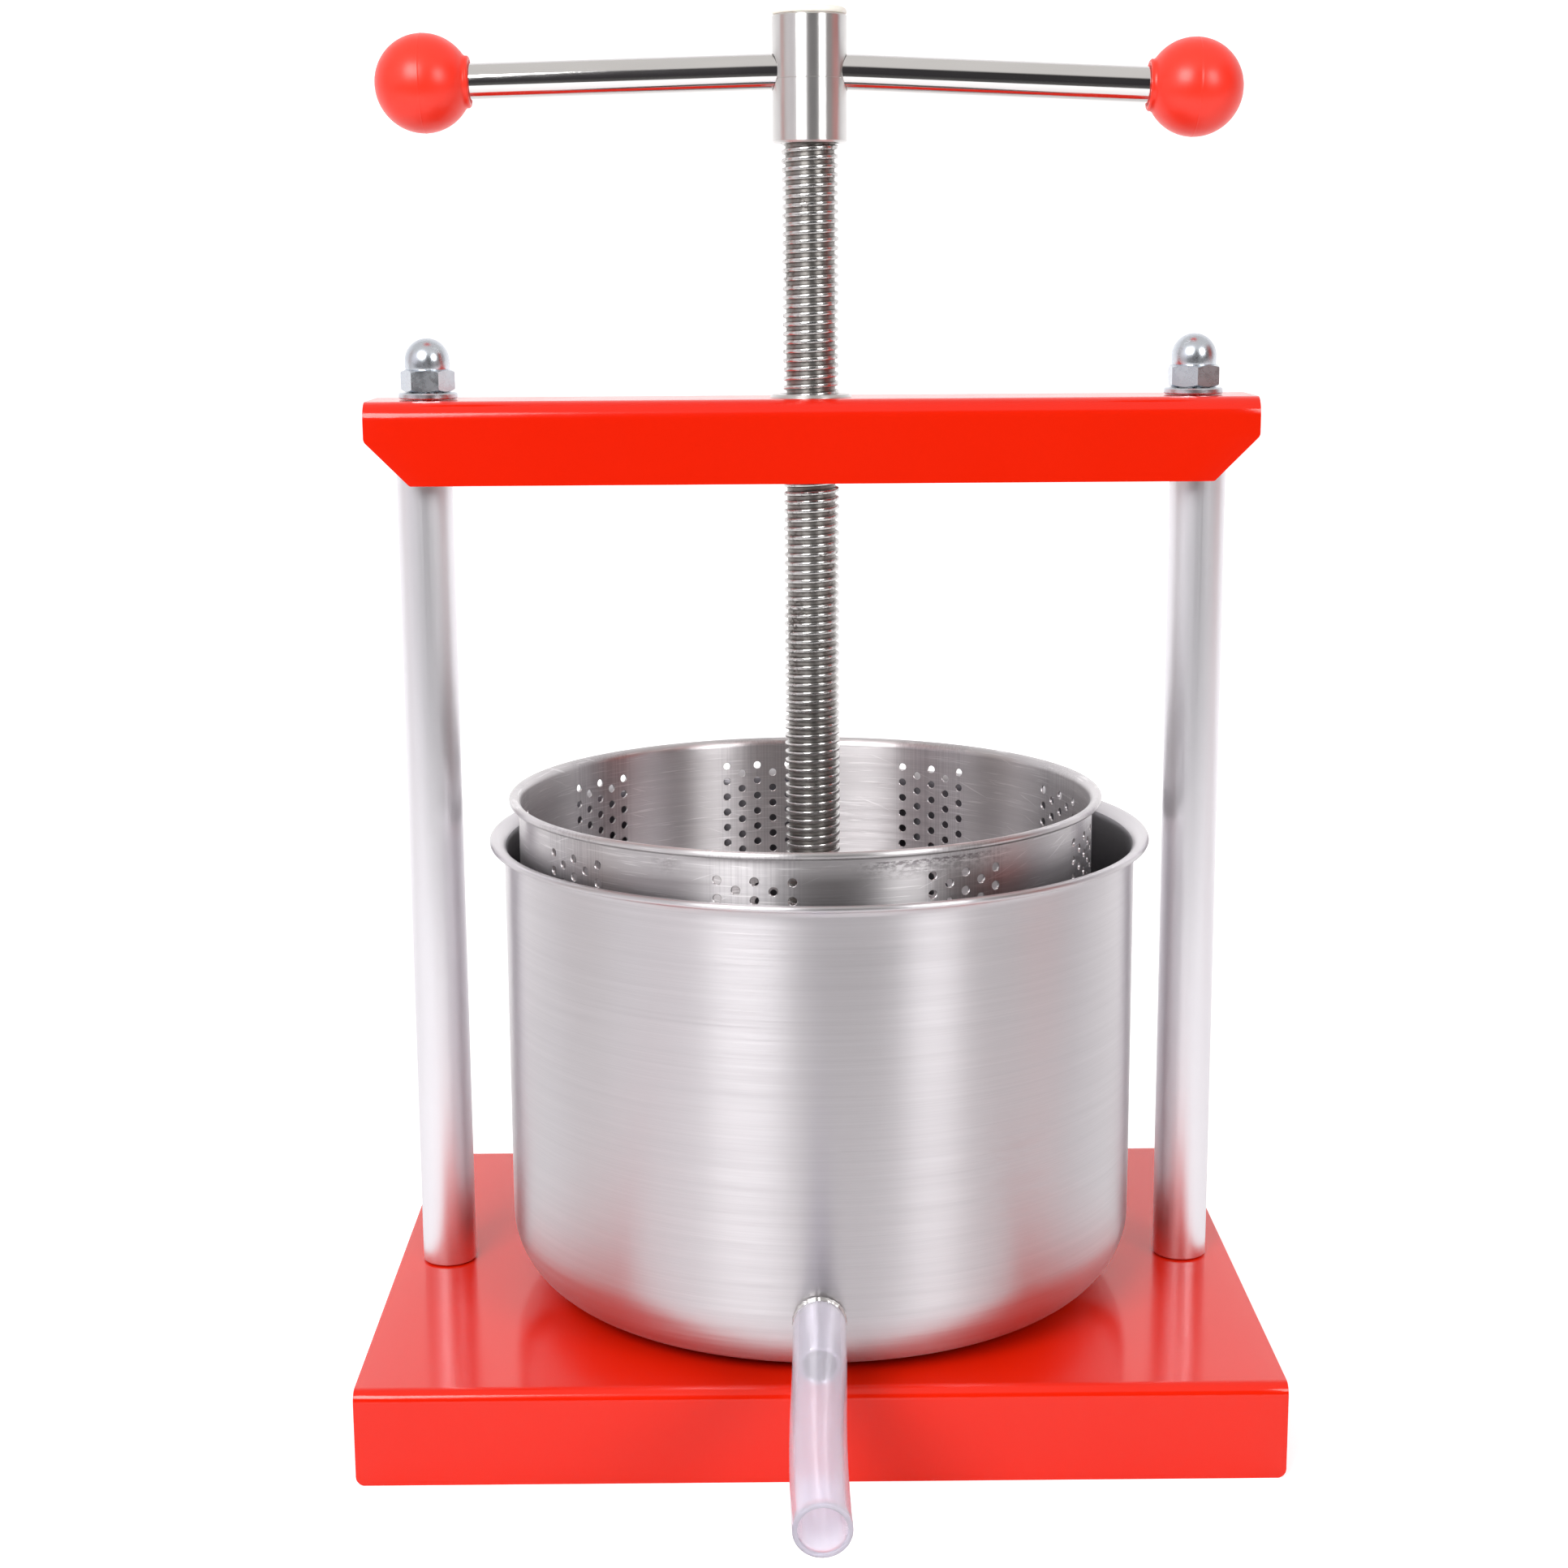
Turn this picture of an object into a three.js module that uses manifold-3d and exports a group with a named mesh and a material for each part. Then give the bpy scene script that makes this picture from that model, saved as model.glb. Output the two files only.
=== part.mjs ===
// A screw press for soft cheese. A folded steel base carries two columns and a crossbeam, a pressing
// screw with a turning handle goes down through the beam, and its plate presses the curd in a
// perforated basket. The basket stands in a pot that drains through a spout and a short hose.
// Millimetres, +Z up. The spout faces -Y, and the screw's axis is the press's own centre line.

import * as THREE from 'three';
import { mergeVertices } from 'three/addons/utils/BufferGeometryUtils.js';
import Module from 'manifold-3d';

const wasm = await Module();
wasm.setup();

// ---- Driving dimensions ----

const gap = 0.3; // clearance between pieces that touch
const degree = Math.PI / 180;

const base = { width: 300, depth: 232, height: 32, sheet: 2.5, bend: 4, corner: 3 };
const beam = { width: 300, depth: 40, height: 28, sheet: 2.5, bend: 6, cut: 15, top: 341 };
const column = { spread: 132.5, radius: 9.5, wall: 2 };

// M10 fasteners: a threaded rod through each column, a plain nut below and a cap nut above.
// The rods stand a little inside the columns' own axes.
const rod = { radius: 5, spread: 130.3, bottom: 14, inCapNut: 11.5 };
const washer = { radius: 10, thickness: 2 };
const nut = { acrossFlats: 16, height: 7.5, faceRadius: 7.7, capHeight: 18, domeRadius: 7.6, depth: 13 };
const holeAllowance = 0.5; // how much wider a fastener's hole is than the fastener, on the radius

const screw = { radius: 9.5, neckRadius: 7, neckLow: 8, neckHigh: 13, inHub: 13 };
const bush = { collarRadius: 14, rise: 1, flangeRadius: 17, flange: 5, flangeCut: 2, length: 27, play: 0.3 };

const hub = { radius: 12.5, bottom: 425, top: 466.4, cap: 2.5, capRadius: 12, stem: 4, stemRadius: 3.6 };
const grub = { radius: 4, length: 6 };
const bar = { radius: 6, height: 448, droop: 2.05 * degree, tilt: 0.6 * degree, bend: 20 };
const knob = { radius: 16.2, reach: 128.4, collarRadius: 8.7, collarFace: 15.4, socketDepth: 6 };

const plate = { radius: 88, thickness: 3, underside: 118 };
const socket = { radius: 17, footRadius: 24, foot: 4, height: 26, floor: 5 };
const keeper = { radius: 3, tip: 7.4, headReach: 16.5 };

const pot = { x: 1.9, y: -7.6, radius: 109.3, sheet: 1, corner: 26, top: 192.2, rimRadius: 114.3 };
const basket = { x: -2.8, y: -7.6, radius: 99.3, sheet: 0.8, corner: 22, top: 206.4, rimRadius: 102.6 };

const spout = { height: 55.9, radius: 6.6, wall: 1.2, reach: 30, tilt: 6.2 * degree, turn: -1.2 * degree };
const weld = { radius: 8.85, standOff: 0.5, width: 2 };
const hose = { radius: 8.5, bore: 6.9, sides: 12, steps: 7 };

// The hose's route from the spout's weld to its open end, as left out on the bench.
const hoseRoute = [
  [-0.45, -119.76, 55.59],
  [-0.72, -132.78, 54.17],
  [-1.03, -147.69, 52.55],
  [-1.5, -162, 51.0],
  [-2.0, -178, 49.4],
  [-2.3, -195, 47.75],
  [-2.3, -214, 46.05],
  [-1.9, -235, 44.4],
];

const round = { vessel: 36, plate: 36, shaft: 20, small: 12 }; // sides of the turned pieces

// Half of the difference between how far the spout and the base's rear edge stand out,
// so that the origin is under the middle of the object's box.
const spoutReach = pot.radius - pot.y + spout.reach;
const frameShift = (spoutReach - base.depth / 2) / 2;

const floorOfPot = base.height + gap;
const floorOfBasket = floorOfPot + pot.sheet + gap;
const washerTop = beam.top + gap + washer.thickness;
const tipOfScrew = plate.underside + plate.thickness + gap + socket.floor + gap;

// ---- Materials ----

const finish = (color, roughness, metalness) => new THREE.MeshStandardMaterial({ color, roughness, metalness });

const redPaint = finish(0xe8240c, 0.22, 0.0);
const aluminium = finish(0xc9c8ce, 0.35, 0.9);
const brushedSteel = finish(0xbdb8bd, 0.32, 1.0);
const turnedSteel = finish(0xb0aeb0, 0.25, 1.0);
const zincPlate = finish(0xb8c2cc, 0.3, 1.0);
const chromePlate = finish(0xdcdcdc, 0.08, 1.0);
const redPlastic = finish(0xf2361e, 0.3, 0.0);
const creamPlastic = finish(0xebe6d2, 0.5, 0.0);
const clearHose = finish(0xe2dcee, 0.25, 0.0);
clearHose.transparent = true;
clearHose.opacity = 0.6;

// ---- Geometry helpers ----

function solidFrom(geometry) {
  const bare = geometry.clone();
  bare.deleteAttribute('normal');
  bare.deleteAttribute('uv');
  const merged = mergeVertices(bare, 1e-4);
  return new wasm.Manifold(new wasm.Mesh({
    numProp: 3,
    vertProperties: Float32Array.from(merged.attributes.position.array),
    triVerts: Uint32Array.from(merged.index.array),
  }));
}

function geometryFrom(solid) {
  const mesh = solid.getMesh();
  const geometry = new THREE.BufferGeometry();
  geometry.setAttribute('position', new THREE.BufferAttribute(mesh.vertProperties, 3));
  geometry.setIndex(new THREE.BufferAttribute(mesh.triVerts, 1));
  geometry.computeVertexNormals();
  return geometry;
}

function cut(geometry, ...tools) {
  const start = solidFrom(geometry);
  return geometryFrom(tools.reduce((solid, tool) => solid.subtract(solidFrom(tool)), start));
}

// Turns a profile of [radius, height] points about Z. It runs anticlockwise: out along the bottom,
// up the outside and back to the axis, or round a closed ring.
function turned(profile, sides) {
  const points = profile.map(([radius, height]) => new THREE.Vector2(radius, height));
  return new THREE.LatheGeometry(points, sides).rotateX(Math.PI / 2);
}

function ring(inner, outer, low, high, sides) {
  return turned([[inner, low], [outer, low], [outer, high], [inner, high], [inner, low]], sides);
}

function rodAlongZ(radius, low, high, sides) {
  return turned([[0, low], [radius, low], [radius, high], [0, high]], sides);
}

function arc(radius, height, bend, from, to, steps) {
  return Array.from({ length: steps + 1 }, (_, i) => {
    const angle = (from + ((to - from) * i) / steps) * degree;
    return [radius + bend * Math.cos(angle), height + bend * Math.sin(angle)];
  });
}

// The closed outline of a sheet that follows a line, half its thickness to each side.
function sheetOutline(line, thickness) {
  const side = (sign) => line.map(([radius, height], i) => {
    const before = line[Math.max(i - 1, 0)];
    const after = line[Math.min(i + 1, line.length - 1)];
    const length = Math.hypot(after[0] - before[0], after[1] - before[1]);
    const shift = (sign * thickness) / 2 / length;
    return [radius + shift * (after[1] - before[1]), height - shift * (after[0] - before[0])];
  });
  return [...side(1), ...side(-1).reverse()];
}

function circle(radius, sides) {
  return Array.from({ length: sides }, (_, i) => {
    const angle = (2 * Math.PI * i) / sides;
    return new THREE.Vector2(radius * Math.cos(angle), radius * Math.sin(angle));
  });
}

function alongPath(section, path, steps) {
  return new THREE.ExtrudeGeometry(section, { extrudePath: path, steps, bevelEnabled: false });
}

// ---- Frame: base, columns and crossbeam ----

// A channel open at the bottom, folded from sheet: its section is in YZ and it runs along X.
function channel({ width, depth, height, sheet, bend }) {
  const half = depth / 2;
  const section = new THREE.Shape();
  section.moveTo(-half, 0);
  section.lineTo(sheet - half, 0);
  section.absarc(bend - half, height - bend, bend - sheet, Math.PI, Math.PI / 2, true);
  section.absarc(half - bend, height - bend, bend - sheet, Math.PI / 2, 0, true);
  section.lineTo(half - sheet, 0);
  section.lineTo(half, 0);
  section.absarc(half - bend, height - bend, bend, 0, Math.PI / 2, false);
  section.absarc(bend - half, height - bend, bend, Math.PI / 2, Math.PI, false);
  const body = new THREE.ExtrudeGeometry(section, { depth: width, bevelEnabled: false, curveSegments: 3 });
  const [x, y, z] = [new THREE.Vector3(1, 0, 0), new THREE.Vector3(0, 1, 0), new THREE.Vector3(0, 0, 1)];
  return body.applyMatrix4(new THREE.Matrix4().makeBasis(y, z, x)).translate(-width / 2, 0, 0);
}

// Keeps what lies inside an outline that is drawn in XZ.
function trimmedTo(outline, geometry, depth) {
  const block = new THREE.ExtrudeGeometry(outline, { depth: depth + 2, bevelEnabled: false, curveSegments: 3 });
  block.rotateX(Math.PI / 2).translate(0, depth / 2 + 1, 0);
  return geometryFrom(solidFrom(geometry).intersect(solidFrom(block)));
}

function rodHoles(low, high) {
  const radius = rod.radius + holeAllowance;
  return [-1, 1].map((side) => rodAlongZ(radius, low, high, round.small).translate(side * rod.spread, 0, 0));
}

function basePlate() {
  const { width, depth, height, corner } = base;
  const outline = new THREE.Shape();
  outline.moveTo(-width / 2, height + 1);
  outline.lineTo(-width / 2, corner);
  outline.absarc(corner - width / 2, corner, corner, Math.PI, 1.5 * Math.PI, false);
  outline.absarc(width / 2 - corner, corner, corner, 1.5 * Math.PI, 2 * Math.PI, false);
  outline.lineTo(width / 2, height + 1);
  const folded = trimmedTo(outline, channel(base), depth);
  return cut(folded, ...rodHoles(0, height + 1));
}

function crossbeam() {
  const { width, depth, height, cut: corner, top } = beam;
  const outline = new THREE.Shape();
  outline.moveTo(-width / 2, height + 1);
  outline.lineTo(-width / 2, corner);
  outline.lineTo(corner - width / 2, 0);
  outline.lineTo(width / 2 - corner, 0);
  outline.lineTo(width / 2, corner);
  outline.lineTo(width / 2, height + 1);
  const folded = trimmedTo(outline, channel(beam), depth);
  const bushHole = rodAlongZ(bush.collarRadius + gap, 0, height + 1, round.shaft);
  const drilled = cut(folded, bushHole, ...rodHoles(0, height + 1));
  return drilled.translate(0, 0, top - height);
}

function columnTube() {
  const high = beam.top - beam.sheet - gap;
  return ring(column.radius - column.wall, column.radius, base.height + gap, high, round.shaft);
}

// ---- Fasteners ----

function tieRod() {
  return rodAlongZ(rod.radius - 0.15, rod.bottom, washerTop + gap + rod.inCapNut, round.small);
}

function flatWasher() {
  return ring(rod.radius + 0.25, washer.radius, 0, washer.thickness, round.shaft);
}

// A hexagon with its corners turned off at 30 degrees; a corner points along X.
function hexagon(height, chamferBottom) {
  const { acrossFlats, faceRadius } = nut;
  const corner = acrossFlats / 2 / Math.cos(30 * degree);
  const drop = (corner + 0.5 - faceRadius) * Math.tan(30 * degree);
  const prism = new THREE.CylinderGeometry(corner, corner, height, 6);
  prism.rotateX(Math.PI / 2).rotateZ(30 * degree).translate(0, 0, height / 2);
  const foot = chamferBottom ? [[faceRadius, 0], [corner + 0.5, drop]] : [[corner + 0.5, 0]];
  const envelope = turned([[0, 0], ...foot, [corner + 0.5, height - drop], [faceRadius, height], [0, height]], 18);
  return solidFrom(prism).intersect(solidFrom(envelope));
}

function plainNut() {
  const bore = rodAlongZ(rod.radius + 0.15, -1, nut.height + 1, round.small);
  return geometryFrom(hexagon(nut.height, true).subtract(solidFrom(bore)));
}

function capNut() {
  const { height, capHeight, domeRadius, depth } = nut;
  const neck = [[0, height - 1], [domeRadius, height - 1]];
  const dome = arc(0, capHeight - domeRadius, domeRadius, 0, 90, 5);
  dome[dome.length - 1][0] = 0;
  const bore = rodAlongZ(rod.radius + 0.15, -1, depth, round.small);
  const body = hexagon(height, false).add(solidFrom(turned([...neck, ...dome], round.shaft)));
  return geometryFrom(body.subtract(solidFrom(bore)));
}

// ---- Pressing screw, handle and plate ----

function threadedBush() {
  const { collarRadius, rise, flangeRadius, flange, flangeCut, length, play } = bush;
  const bore = screw.radius + play;
  const top = beam.top + rise;
  const bottom = top - length;
  const shoulder = beam.top - beam.sheet - gap;
  return turned([
    [bore, bottom],
    [collarRadius, bottom],
    [collarRadius, shoulder - flange],
    [flangeRadius, shoulder - flange],
    [flangeRadius, shoulder - flangeCut],
    [flangeRadius - flangeCut, shoulder],
    [collarRadius, shoulder],
    [collarRadius, top],
    [bore, top],
    [bore, bottom],
  ], round.shaft);
}

// The screw's tip turns in the plate's socket, and a groove in it takes the keeper screw.
function pressingScrew() {
  const { radius, neckRadius, neckLow, neckHigh, inHub } = screw;
  const low = tipOfScrew;
  return turned([
    [0, low],
    [radius - 1, low],
    [radius, low + 1],
    [radius, low + neckLow],
    [neckRadius, low + neckLow],
    [neckRadius, low + neckHigh],
    [radius, low + neckHigh],
    [radius, hub.bottom + inHub],
    [0, hub.bottom + inHub],
  ], round.shaft);
}

function handleHub() {
  const { radius, bottom, top } = hub;
  const socketTop = bottom + screw.inHub + gap;
  const blank = turned([
    [0, socketTop],
    [screw.radius + gap, socketTop],
    [screw.radius + gap, bottom],
    [radius, bottom],
    [radius, top],
    [0, top],
  ], round.shaft);
  const cross = rodAlongZ(bar.radius + 2 * gap, -radius - 1, radius + 1, round.small);
  cross.rotateY(Math.PI / 2 + bar.tilt).translate(0, 0, bar.height);
  const tapped = rodAlongZ(grub.radius + gap, bar.height, top + 1, round.small);
  return cut(blank, cross, tapped);
}

function hubCap() {
  const { capRadius, cap, top, stem, stemRadius } = hub;
  const low = top + gap;
  return turned([
    [0, low - stem],
    [stemRadius, low - stem],
    [stemRadius, low],
    [capRadius, low],
    [capRadius - 0.4, low + 0.5 * cap],
    [capRadius - 2.5, low + 0.8 * cap],
    [0, low + cap],
  ], round.shaft);
}

function armDroop(distance) {
  return Math.tan(bar.droop) * (distance - bar.bend / 2);
}

function grubScrew() {
  const low = bar.height + bar.radius + gap;
  return rodAlongZ(grub.radius, low, low + grub.length, round.small);
}

// Each arm of the handle droops a little from a gentle bend inside the hub, which is at the origin.
function handleBar() {
  const place = (x) => new THREE.Vector3(x, 0, -armDroop(Math.abs(x)));
  const end = knob.reach + knob.socketDepth - gap;
  const path = new THREE.CurvePath();
  path.add(new THREE.LineCurve3(place(-end), place(-bar.bend)));
  const apex = new THREE.Vector3(0, 0, -armDroop(0));
  path.add(new THREE.QuadraticBezierCurve3(place(-bar.bend), apex, place(bar.bend)));
  path.add(new THREE.LineCurve3(place(bar.bend), place(end)));
  return alongPath(new THREE.Shape(circle(bar.radius, round.small)), path, 12);
}

// A ball with a short collar on its inner side, drilled for the bar; +Z points away from the hub.
function ballKnob() {
  const { radius, collarRadius, collarFace, socketDepth } = knob;
  const bore = bar.radius + gap;
  const collarAngle = -Math.acos(collarRadius / radius) / degree;
  const ball = arc(0, 0, radius, collarAngle, 90, 9);
  ball[ball.length - 1][0] = 0;
  return turned([
    [0, socketDepth],
    [bore, socketDepth],
    [bore, -collarFace],
    [collarRadius, -collarFace],
    ...ball,
  ], round.shaft);
}

function pressPlate() {
  const { radius, thickness, underside } = plate;
  const top = underside + thickness;
  return turned([
    [0, underside],
    [radius - 0.7, underside],
    [radius, underside + 0.7],
    [radius, top - 0.7],
    [radius - 0.7, top],
    [0, top],
  ], round.plate);
}

function plateSocket() {
  const { radius, footRadius, foot, height, floor } = socket;
  const low = plate.underside + plate.thickness + gap;
  const bore = screw.radius + gap;
  const body = turned([
    [0, low],
    [footRadius, low],
    [footRadius, low + foot],
    [radius, low + foot],
    [radius, low + height],
    [bore, low + height],
    [bore, low + floor],
    [0, low + floor],
  ], round.shaft);
  const crossHole = rodAlongZ(keeper.radius + gap, 0, radius + 1, round.small);
  return cut(body, crossHole.rotateY(Math.PI / 2).translate(0, 0, keeperHeight()));
}

function keeperHeight() {
  return tipOfScrew + (screw.neckLow + screw.neckHigh) / 2;
}

function keeperScrew() {
  return rodAlongZ(keeper.radius - 0.6, keeper.tip, keeper.headReach, round.small)
    .rotateY(Math.PI / 2)
    .translate(0, 0, keeperHeight());
}

// ---- Pot, spout, hose and basket ----

// The middle line of a vessel's sheet: floor, rounded corner, wall, and a rim rolled outwards.
function vesselLine({ radius, sheet, corner, top, rimRadius }, floor, cornerSteps) {
  const wall = radius - sheet / 2;
  const bend = corner - sheet / 2;
  const roll = (rimRadius - radius) / 2;
  const rimMiddle = top - sheet / 2 - roll;
  return [
    [0, floor + sheet / 2],
    ...arc(wall - bend, floor + corner, bend, -90, 0, cornerSteps),
    ...arc(wall + roll, rimMiddle, roll, 180, -60, 5),
  ];
}

// Lays a shape made along Z on the spout's axis, with its zero at the pot's wall.
function ontoSpout(geometry) {
  return geometry.rotateX(Math.PI / 2 + spout.tilt).translate(0, -pot.radius, spout.height);
}

function drainPot() {
  const shell = turned(sheetOutline(vesselLine(pot, floorOfPot, 5), pot.sheet), round.vessel);
  return cut(shell, ontoSpout(rodAlongZ(spout.radius + gap, -12, 12, round.small)));
}

function drainSpout() {
  const bore = spout.radius - spout.wall;
  const { standOff, width } = weld;
  return ontoSpout(turned([
    [bore, -2.2],
    [spout.radius, -2.2],
    [spout.radius, standOff],
    [weld.radius, standOff],
    [spout.radius, standOff + width],
    [spout.radius, spout.reach],
    [bore, spout.reach],
    [bore, -2.2],
  ], round.small));
}

function curdBasket() {
  const outline = sheetOutline(vesselLine(basket, floorOfBasket, 4), basket.sheet);
  return turned(outline, round.vessel);
}

function drainHose() {
  const path = new THREE.CatmullRomCurve3(hoseRoute.map((point) => new THREE.Vector3(...point)));
  const section = new THREE.Shape(circle(hose.radius, hose.sides));
  section.holes.push(new THREE.Path(circle(hose.bore / Math.cos(Math.PI / hose.sides), hose.sides)));
  return alongPath(section, path, hose.steps);
}

// ---- Assembly ----

const press = new THREE.Group();
press.position.y = frameShift;

function add(parent, name, geometry, material) {
  const mesh = new THREE.Mesh(geometry, material);
  mesh.name = name;
  parent.add(mesh);
  return mesh;
}

function addColumn(side, name, hexTurn) {
  add(press, `post_${name}`, columnTube(), aluminium).position.x = side * column.spread;
  const fasteners = new THREE.Group();
  fasteners.position.x = side * rod.spread;
  press.add(fasteners);
  const underBase = base.height - base.sheet - gap;
  const nutBottom = underBase - washer.thickness - gap - nut.height;
  add(fasteners, `tie_rod_${name}`, tieRod(), zincPlate);
  add(fasteners, `base_washer_${name}`, flatWasher(), zincPlate).position.z = underBase - washer.thickness;
  add(fasteners, `base_nut_${name}`, plainNut(), zincPlate).position.z = nutBottom;
  add(fasteners, `top_washer_${name}`, flatWasher(), zincPlate).position.z = beam.top + gap;
  const top = add(fasteners, `cap_nut_${name}`, capNut(), zincPlate);
  top.position.z = washerTop + gap;
  top.rotation.z = hexTurn;
}

// The whole handle sits a little askew in the hub, lower on the right.
const handle = new THREE.Group();
handle.position.z = bar.height;
handle.rotation.y = bar.tilt;
press.add(handle);

function addKnob(side, name) {
  const ball = add(handle, `knob_${name}`, ballKnob(), redPlastic);
  ball.position.set(side * knob.reach, 0, -armDroop(knob.reach));
  ball.rotation.y = side * (Math.PI / 2 + bar.droop);
}

add(press, 'base_plate', basePlate(), redPaint);
addColumn(-1, 'left', 0);
addColumn(1, 'right', 30 * degree);
add(press, 'crossbeam', crossbeam(), redPaint);
add(press, 'screw_bush', threadedBush(), turnedSteel);

add(press, 'pressing_screw', pressingScrew(), turnedSteel);
add(press, 'handle_hub', handleHub(), turnedSteel);
add(press, 'hub_cap', hubCap(), creamPlastic);
add(press, 'bar_grub_screw', grubScrew(), zincPlate);
add(handle, 'handle_bar', handleBar(), chromePlate);
addKnob(-1, 'left');
addKnob(1, 'right');

add(press, 'press_plate', pressPlate(), brushedSteel);
add(press, 'plate_socket', plateSocket(), turnedSteel);
add(press, 'keeper_screw', keeperScrew(), zincPlate);

const potGroup = new THREE.Group();
potGroup.position.set(pot.x, pot.y, 0);
potGroup.rotation.z = spout.turn;
press.add(potGroup);
add(potGroup, 'drain_pot', drainPot(), brushedSteel);
add(potGroup, 'drain_spout', drainSpout(), brushedSteel);

add(press, 'curd_basket', curdBasket(), brushedSteel).position.set(basket.x, basket.y, 0);
add(press, 'drain_hose', drainHose(), clearHose);

export default press;
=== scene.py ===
import math

import bpy
import bmesh
from mathutils import Matrix, Vector, geometry


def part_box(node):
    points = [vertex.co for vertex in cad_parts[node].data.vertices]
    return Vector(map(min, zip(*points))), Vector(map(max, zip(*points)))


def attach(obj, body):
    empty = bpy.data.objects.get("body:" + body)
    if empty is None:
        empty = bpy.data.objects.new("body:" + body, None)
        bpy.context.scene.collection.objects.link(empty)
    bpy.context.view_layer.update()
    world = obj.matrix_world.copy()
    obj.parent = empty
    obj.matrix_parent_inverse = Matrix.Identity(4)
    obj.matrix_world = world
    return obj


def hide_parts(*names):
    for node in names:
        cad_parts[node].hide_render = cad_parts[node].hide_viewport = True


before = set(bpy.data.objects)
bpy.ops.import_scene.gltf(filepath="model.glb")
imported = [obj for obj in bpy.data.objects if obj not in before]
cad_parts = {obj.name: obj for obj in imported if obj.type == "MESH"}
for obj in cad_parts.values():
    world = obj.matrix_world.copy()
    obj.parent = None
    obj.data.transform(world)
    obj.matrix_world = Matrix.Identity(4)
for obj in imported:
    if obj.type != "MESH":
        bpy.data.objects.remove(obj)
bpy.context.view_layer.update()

MM = 0.001

# ---- Places, worked out from the CAD nodes ----


def low(node):
    return Vector(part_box(node)[0])


def high(node):
    return Vector(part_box(node)[1])


def middle(node):
    return (low(node) + high(node)) / 2


def width(node, axis=0):
    return (high(node) - low(node))[axis]


def axis_of(node, height=0.0):
    """The point at a height on the vertical line through the node's middle."""
    return Vector((middle(node).x, middle(node).y, height))


screw_axis = axis_of("pressing_screw")
pot_axis = axis_of("drain_pot")
basket_axis = axis_of("curd_basket")

# ---- Mesh helpers: a shape is (vertices, faces) in metres ----


def rounded(corners, steps=5):
    """An open line through (x, y) corners; a third number rounds that corner by its radius."""
    line = []
    for i, corner in enumerate(corners):
        here = Vector(corner[:2])
        if len(corner) < 3 or i in (0, len(corners) - 1):
            line.append(tuple(here))
            continue
        before = (Vector(corners[i - 1][:2]) - here).normalized()
        after = (Vector(corners[i + 1][:2]) - here).normalized()
        half = before.angle(after) / 2
        reach = corner[2] / math.tan(half)
        centre = here + (before + after).normalized() * corner[2] / math.sin(half)
        first, last = here + before * reach - centre, here + after * reach - centre
        swing = first.angle_signed(last)
        for k in range(steps + 1):
            line.append(tuple(centre + Matrix.Rotation(-swing * k / steps, 2) @ first))
    return line


def arc(x, y, radius, start, end, steps):
    angles = [math.radians(start + (end - start) * k / steps) for k in range(steps + 1)]
    return [(x + radius * math.cos(a), y + radius * math.sin(a)) for a in angles]


def both_sides(line, thickness):
    """The closed outline of a sheet around its middle line, right side first."""
    sides = []
    for sign in (1, -1):
        side = []
        for i, (x, y) in enumerate(line):
            a, b = line[max(i - 1, 0)], line[min(i + 1, len(line) - 1)]
            dx, dy = b[0] - a[0], b[1] - a[1]
            shift = sign * thickness / 2 / math.hypot(dx, dy)
            side.append((x + shift * dy, y - shift * dx))
        sides.append(side)
    return sides[0] + sides[1][::-1]


def banded(rows, closed=False):
    """Faces between rows of vertex numbers that go round; a point on the axis is one number, repeated."""
    faces = []
    for first, second in zip(rows, rows[1:] + (rows[:1] if closed else [])):
        for k in range(len(first)):
            n = (k + 1) % len(first)
            corners = [first[k], first[n], second[n], second[k]]
            corners = [c for i, c in enumerate(corners) if c != corners[i - 1]]
            if len(set(corners)) > 2:
                faces.append(corners)
    return faces


def turn(profile, steps=96, closed=False, angles=None):
    """Turns (radius, height) points about Z; they run anticlockwise, out along the bottom and up."""
    angles = angles or [2 * math.pi * k / steps for k in range(steps)]
    verts, rows = [], []
    for radius, height in profile:
        start = len(verts)
        if radius < 1e-7:
            rows.append([start] * len(angles))
            verts.append((0, 0, height))
        else:
            rows.append(range(start, start + len(angles)))
            verts += [(radius * math.cos(a), radius * math.sin(a), height) for a in angles]
    return verts, banded(rows, closed)


def along(points, section, capped=True):
    """A closed section, as (side, up) points, carried along a line that is nowhere upright."""
    verts, size = [], len(section)
    for i, point in enumerate(points):
        ahead = (points[min(i + 1, len(points) - 1)] - points[max(i - 1, 0)]).normalized()
        side = ahead.cross(Vector((0, 0, 1))).normalized()
        up = side.cross(ahead)
        verts += [tuple(point + side * x + up * y) for x, y in section]
    rows = [list(range(i * size, (i + 1) * size)) for i in range(len(points))]
    faces = banded(rows)
    if capped:
        faces += [rows[0][::-1], rows[-1]]
    return verts, faces


def circle(radius, sides):
    return [(radius * math.cos(2 * math.pi * k / sides), radius * math.sin(2 * math.pi * k / sides))
            for k in range(sides)]


def joined(*shapes):
    verts, faces = [], []
    for more_verts, more_faces in shapes:
        start = len(verts)
        verts += more_verts
        faces += [[start + i for i in face] for face in more_faces]
    return verts, faces


def moved(shape, matrix):
    return [tuple(matrix @ Vector(v)) for v in shape[0]], shape[1]


LYING = Matrix.Rotation(math.pi / 2, 4, "Y")  # lays a shape's Z axis along X


def cylinder(radius, bottom, top, steps):
    return turn([(0, bottom), (radius, bottom), (radius, top), (0, top)], steps)


def new_object(name, shape, origin=Vector((0, 0, 0)), sharp=32):
    """An object whose own origin is at origin, so that its textures follow its axis."""
    mesh = bpy.data.meshes.new(name)
    mesh.from_pydata(shape[0], [], shape[1])
    mesh.validate()
    obj = bpy.data.objects.new(name, mesh)
    bpy.context.collection.objects.link(obj)
    obj.location = origin
    tidy(obj, sharp)
    return obj


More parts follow.
